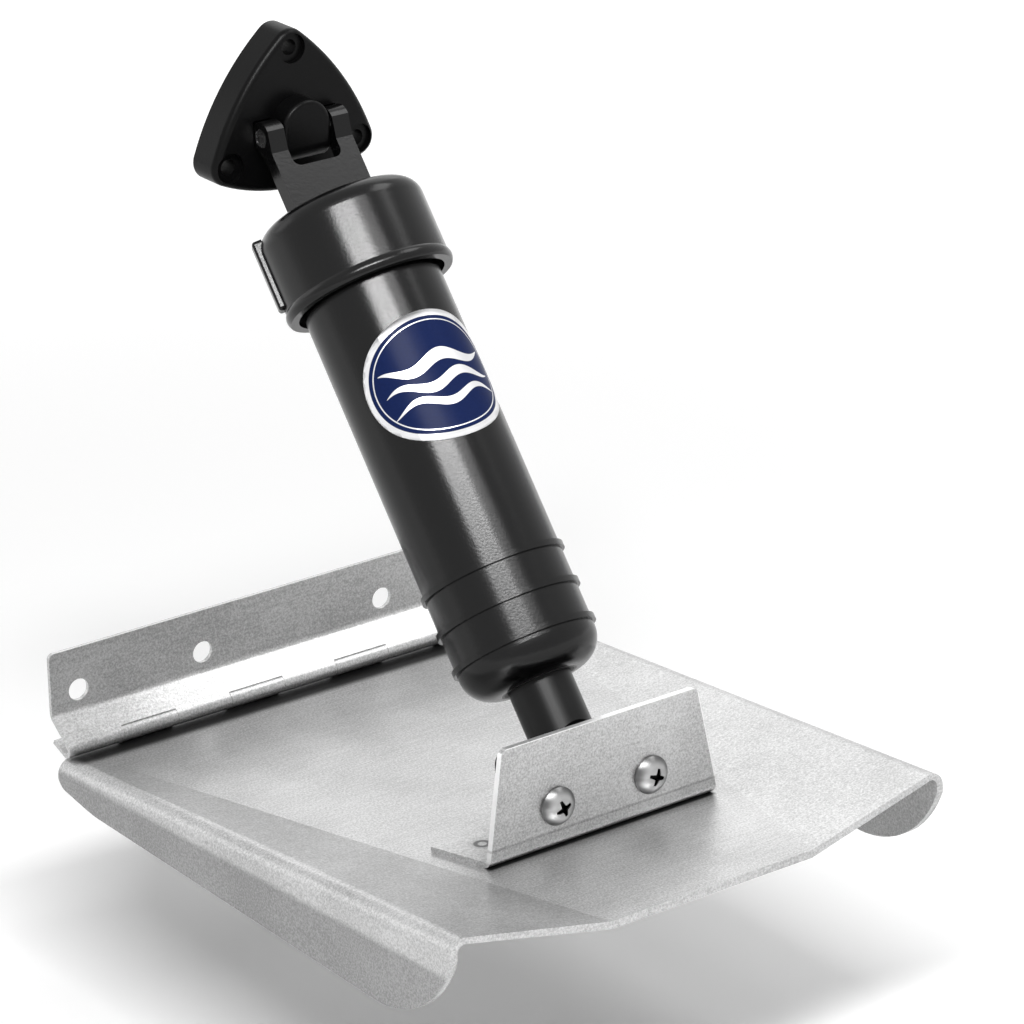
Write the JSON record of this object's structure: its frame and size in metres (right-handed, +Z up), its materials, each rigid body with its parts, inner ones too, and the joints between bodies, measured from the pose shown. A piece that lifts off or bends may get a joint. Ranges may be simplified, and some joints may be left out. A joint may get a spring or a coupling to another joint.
{
  "type": "boat trim tab",
  "caption": "Folded stainless trim plane on a transom hinge, tilted by a single hydraulic ram with a three-screw mounting base.",
  "frame": {"origin": "middle of the hinge leaf's row of four screw holes, on the face that lies on the transom", "axes": "+X along the hinge, +Y forward into the transom, +Z up the transom; the transom face is the plane Y = 0"},
  "size_m": [0.206, 0.2398, 0.257],
  "materials": {
    "sheet_steel": "fine grained stainless sheet",
    "pin_steel": "bright stainless rod",
    "screw_steel": "polished stainless",
    "spring_steel": "drawn stainless wire",
    "black_moulding": "black glass filled nylon, satin",
    "ram_plastic": "black acetal, smooth turned",
    "guide_plastic": "natural acetal",
    "seal_rubber": "nitrile rubber"
  },
  "bodies": {
    "transom": {"transom_hinge_leaf": "sheet_steel", "hinge_pin": "pin_steel", "mounting_base": "black_moulding", "upper_pin": "pin_steel", "upper_pin_o_rings": "seal_rubber"},
    "plane": {"trim_plane": "sheet_steel", "plane_hinge_leaf": "sheet_steel", "ram_bracket": "sheet_steel", "lower_hinge": "black_moulding", "bracket_screws": "screw_steel", "lower_pin": "pin_steel"},
    "cylinder": {"cylinder_cap": "black_moulding", "cylinder_barrel": "black_moulding", "cap_o_ring": "seal_rubber", "rod_guide": "guide_plastic", "rod_wiper": "seal_rubber", "return_spring": "spring_steel"},
    "ram": {"ram": "ram_plastic", "piston": "guide_plastic", "piston_seal": "seal_rubber", "piston_bearing": "guide_plastic", "piston_screw": "screw_steel"}
  },
  "joints": [
    {"name": "plane_tilt", "type": "hinge", "parent": "transom", "child": "plane", "pos_m": [0, -0.0091, -0.0169], "axis": [1, 0, 0], "range_deg": [0, 20], "stiffness_Nm_per_rad": 12, "springref_deg": -22.92},
    {"name": "cylinder_swing", "type": "hinge", "parent": "transom", "child": "cylinder", "pos_m": [0, -0.017, 0.18756], "axis": [1, 0, 0], "range_deg": [0, 7.25]},
    {"name": "ram_slide", "type": "slide", "parent": "cylinder", "child": "ram", "axis": [0, -0.6385, -0.7696], "range_m": [0, 0.045], "deforming": ["return_spring"]}
  ],
  "couplings": [
    {"joint": "cylinder_swing", "follows": "plane_tilt", "ratio": 0.36139},
    {"joint": "ram_slide", "follows": "plane_tilt", "m_per_rad": 0.12857}
  ]
}
